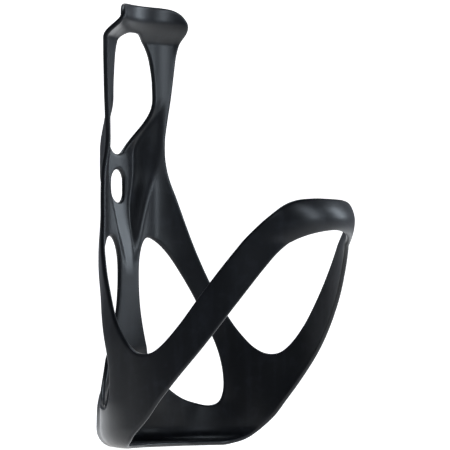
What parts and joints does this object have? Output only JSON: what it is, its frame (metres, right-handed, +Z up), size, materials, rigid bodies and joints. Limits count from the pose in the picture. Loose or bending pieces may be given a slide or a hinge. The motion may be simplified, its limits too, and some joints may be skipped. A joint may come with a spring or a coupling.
{
  "type": "bicycle water bottle cage",
  "caption": "Moulded carbon bottle cage with a two-slot spine, two wings, a sloping hoop round the bottle, a heel shelf and a leaning top lip.",
  "frame": {"origin": "midway between the two bolt slots, on the face that meets the bicycle frame", "axes": "+Y out of the bolt face towards the bicycle frame, so the hoop points to -Y; +Z up along the bottle; +X to the right seen from the hoop"},
  "size_m": [0.0776, 0.082, 0.14],
  "materials": {
    "carbon_moulding": "satin black carbon composite"
  },
  "bodies": {
    "root": {"front_hoop": "carbon_moulding", "upper_bolt_plate": "carbon_moulding", "centre_strip": "carbon_moulding", "lower_bolt_pad": "carbon_moulding", "heel_shelf": "carbon_moulding", "top_lip": "carbon_moulding", "right_arm": "carbon_moulding", "left_arm": "carbon_moulding", "right_side_panel": "carbon_moulding", "left_side_panel": "carbon_moulding", "right_wing": "carbon_moulding", "left_wing": "carbon_moulding", "right_leg": "carbon_moulding", "left_leg": "carbon_moulding", "right_heel_wall": "carbon_moulding", "left_heel_wall": "carbon_moulding"}
  },
  "joints": []
}
